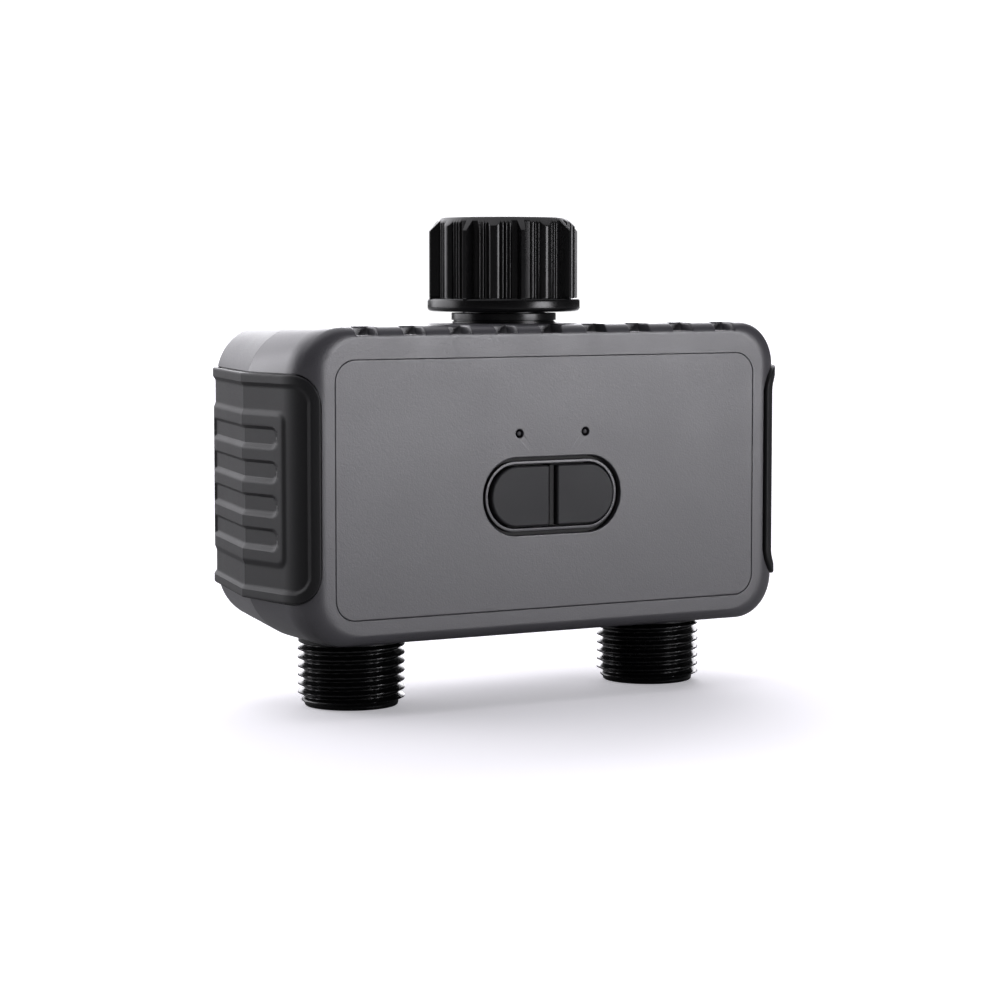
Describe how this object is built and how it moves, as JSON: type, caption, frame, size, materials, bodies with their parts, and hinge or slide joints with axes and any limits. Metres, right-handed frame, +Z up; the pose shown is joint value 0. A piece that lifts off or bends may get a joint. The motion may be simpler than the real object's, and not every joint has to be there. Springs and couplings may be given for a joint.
{
  "type": "drip irrigation timer",
  "caption": "Box-shaped two-outlet hose timer with a swivel inlet nut on top, male threaded outlets below, rubber side grips and a pair of half-oval keys on its front.",
  "frame": {"origin": "on the surface that the outlets stand on, midway between the foremost and rearmost points and between the sides", "axes": "+Z up along the inlet, +X across the two outlets, front with the keys towards -Y"},
  "size_m": [0.1496, 0.0674, 0.1227],
  "materials": {
    "housing_grey": "fine-textured moulded plastic",
    "key_grey": "smooth moulded plastic",
    "grip_rubber": "satin rubber",
    "black_plastic": "glossy moulded plastic",
    "seal_rubber": "matt rubber",
    "lens_clear": "clear moulded plastic",
    "filter_mesh": "fine screen",
    "white_plastic": "moulded plastic",
    "steel": "bright stainless steel",
    "winding_tape": "taped copper winding",
    "board_green": "lacquered circuit board",
    "cell_jacket": "printed cell jacket",
    "wire_red": "insulated wire"
  },
  "bodies": {
    "housing": {"front_shell": "housing_grey", "rear_shell": "housing_grey", "face_panel": "housing_grey", "button_membrane": "seal_rubber", "led_lens_left": "lens_clear", "led_lens_right": "lens_clear", "grip_left": "grip_rubber", "grip_right": "grip_rubber", "manifold": "black_plastic", "outlet_left": "black_plastic", "outlet_right": "black_plastic", "outlet_seal_left": "seal_rubber", "outlet_seal_right": "seal_rubber", "neck_seal": "seal_rubber", "inlet_washer": "seal_rubber", "inlet_filter": "filter_mesh", "diaphragm_left": "seal_rubber", "diaphragm_right": "seal_rubber", "valve_bonnet_left": "white_plastic", "valve_bonnet_right": "white_plastic", "solenoid_coil_left": "winding_tape", "solenoid_coil_right": "winding_tape", "solenoid_yoke_left": "steel", "solenoid_yoke_right": "steel", "plunger_spring_left": "steel", "plunger_spring_right": "steel", "circuit_board": "board_green", "tact_switch_left": "steel", "tact_switch_right": "steel", "indicator_led_left": "lens_clear", "indicator_led_right": "lens_clear", "radio_module": "steel", "solenoid_lead_left": "wire_red", "solenoid_lead_right": "wire_red", "battery_lead": "wire_red", "battery_tray": "black_plastic", "battery_cell_1": "cell_jacket", "battery_cell_2": "cell_jacket", "battery_cell_3": "cell_jacket", "battery_cell_4": "cell_jacket", "battery_link_top_left": "steel", "battery_link_top_right": "steel", "battery_link_bottom": "steel", "battery_terminal_left": "steel", "battery_terminal_right": "steel", "battery_door_seal": "seal_rubber", "housing_screw_1": "steel", "housing_screw_2": "steel", "housing_screw_3": "steel", "housing_screw_4": "steel"},
    "inlet_nut": {"inlet_nut": "black_plastic"},
    "button_left": {"button_left": "key_grey"},
    "button_right": {"button_right": "key_grey"},
    "plunger_left": {"plunger_left": "steel"},
    "plunger_right": {"plunger_right": "steel"},
    "valve_disc_left": {"valve_disc_left": "white_plastic"},
    "valve_disc_right": {"valve_disc_right": "white_plastic"},
    "battery_door": {"battery_door": "housing_grey", "door_screw_left": "steel", "door_screw_right": "steel"}
  },
  "joints": [
    {"name": "inlet_nut_spin", "type": "hinge", "parent": "housing", "child": "inlet_nut", "pos_m": [0, -0.00854, 0.11], "axis": [0, 0, 1], "continuous": true},
    {"name": "button_left_press", "type": "slide", "parent": "housing", "child": "button_left", "axis": [0, 1, 0], "range_m": [0, 0.0008], "stiffness_N_per_m": 1800, "deforming": ["button_membrane"]},
    {"name": "button_right_press", "type": "slide", "parent": "housing", "child": "button_right", "axis": [0, 1, 0], "range_m": [0, 0.0008], "stiffness_N_per_m": 1800, "deforming": ["button_membrane"]},
    {"name": "plunger_left_lift", "type": "slide", "parent": "housing", "child": "plunger_left", "axis": [0, 0, 1], "range_m": [0, 0.0018], "stiffness_N_per_m": 400, "springref_m": -0.002, "deforming": ["plunger_spring_left"]},
    {"name": "valve_disc_left_lift", "type": "slide", "parent": "housing", "child": "valve_disc_left", "axis": [0, 0, 1], "range_m": [0, 0.0027], "deforming": ["diaphragm_left"]},
    {"name": "plunger_right_lift", "type": "slide", "parent": "housing", "child": "plunger_right", "axis": [0, 0, 1], "range_m": [0, 0.0018], "stiffness_N_per_m": 400, "springref_m": -0.002, "deforming": ["plunger_spring_right"]},
    {"name": "valve_disc_right_lift", "type": "slide", "parent": "housing", "child": "valve_disc_right", "axis": [0, 0, 1], "range_m": [0, 0.0027], "deforming": ["diaphragm_right"]},
    {"name": "battery_door_pull", "type": "slide", "parent": "housing", "child": "battery_door", "axis": [0, 1, 0], "range_m": [0, 0.04]}
  ],
  "couplings": [
    {"joint": "valve_disc_left_lift", "follows": "plunger_left_lift", "ratio": 1.5},
    {"joint": "valve_disc_right_lift", "follows": "plunger_right_lift", "ratio": 1.5}
  ]
}
